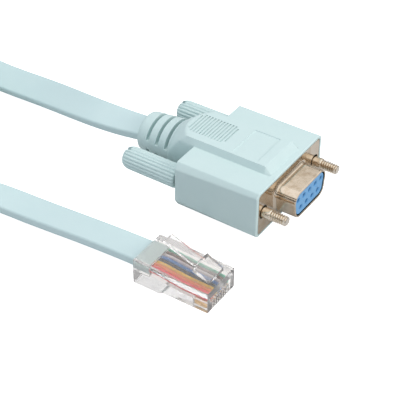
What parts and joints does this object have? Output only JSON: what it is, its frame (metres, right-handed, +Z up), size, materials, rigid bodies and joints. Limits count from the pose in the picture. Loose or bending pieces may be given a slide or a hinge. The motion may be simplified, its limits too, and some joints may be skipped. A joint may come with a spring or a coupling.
{
  "type": "rj45 console cable",
  "caption": "Flat console cable from a nine way D socket in a moulded hood with thumbscrews to a clear eight way modular plug, wound in a neat coil.",
  "frame": {"origin": "on the floor under the middle of the hood and its thumbscrews", "axes": "+X out of the D socket's mating face, +Y to the side away from the modular plug, +Z up"},
  "size_m": [0.1793, 0.1039, 0.0172],
  "materials": {
    "hood_plastic": "satin moulded PVC, pale aqua",
    "nickel_plate": "nickel plating, smooth",
    "blue_insulator": "satin moulded, blue",
    "gold_plate": "gold flash plating",
    "jacket": "satin extruded PVC, pale aqua",
    "clear_plastic": "clear polycarbonate",
    "wire_green": "satin insulation, green",
    "wire_brown": "satin insulation, brown",
    "wire_white": "satin insulation, white",
    "wire_blue": "satin insulation, blue",
    "wire_black": "satin insulation, black",
    "wire_yellow": "satin insulation, yellow",
    "wire_orange": "satin insulation, orange",
    "wire_red": "satin insulation, red"
  },
  "bodies": {
    "cable": {"hood": "hood_plastic", "d_shell": "nickel_plate", "insulator": "blue_insulator", "socket_contact_1": "gold_plate", "socket_contact_2": "gold_plate", "socket_contact_3": "gold_plate", "socket_contact_4": "gold_plate", "socket_contact_5": "gold_plate", "socket_contact_6": "gold_plate", "socket_contact_7": "gold_plate", "socket_contact_8": "gold_plate", "socket_contact_9": "gold_plate", "cable_to_hood": "jacket", "cable_coil": "jacket", "cable_to_plug": "jacket", "plug_housing": "clear_plastic", "plug_contact_1": "gold_plate", "plug_contact_2": "gold_plate", "plug_contact_3": "gold_plate", "plug_contact_4": "gold_plate", "plug_contact_5": "gold_plate", "plug_contact_6": "gold_plate", "plug_contact_7": "gold_plate", "plug_contact_8": "gold_plate", "wire_1": "wire_red", "wire_2": "wire_orange", "wire_3": "wire_yellow", "wire_4": "wire_black", "wire_5": "wire_blue", "wire_6": "wire_white", "wire_7": "wire_brown", "wire_8": "wire_green"},
    "near_thumbscrew": {"near_knob": "hood_plastic", "near_screw": "nickel_plate"},
    "far_thumbscrew": {"far_knob": "hood_plastic", "far_screw": "nickel_plate"},
    "latch": {"plug_latch": "clear_plastic"}
  },
  "joints": [
    {"name": "near_thumbscrew_turn", "type": "hinge", "parent": "cable", "child": "near_thumbscrew", "pos_m": [0.01815, -0.01249, 0.0086], "axis": [1, 0, 0], "continuous": true},
    {"name": "far_thumbscrew_turn", "type": "hinge", "parent": "cable", "child": "far_thumbscrew", "pos_m": [0.01815, 0.01249, 0.0086], "axis": [1, 0, 0], "continuous": true},
    {"name": "latch_flex", "type": "hinge", "parent": "cable", "child": "latch", "pos_m": [0.0208, -0.03795, 0.0071], "axis": [0, -1, 0], "range_deg": [0, 16], "stiffness_Nm_per_rad": 0.3}
  ]
}
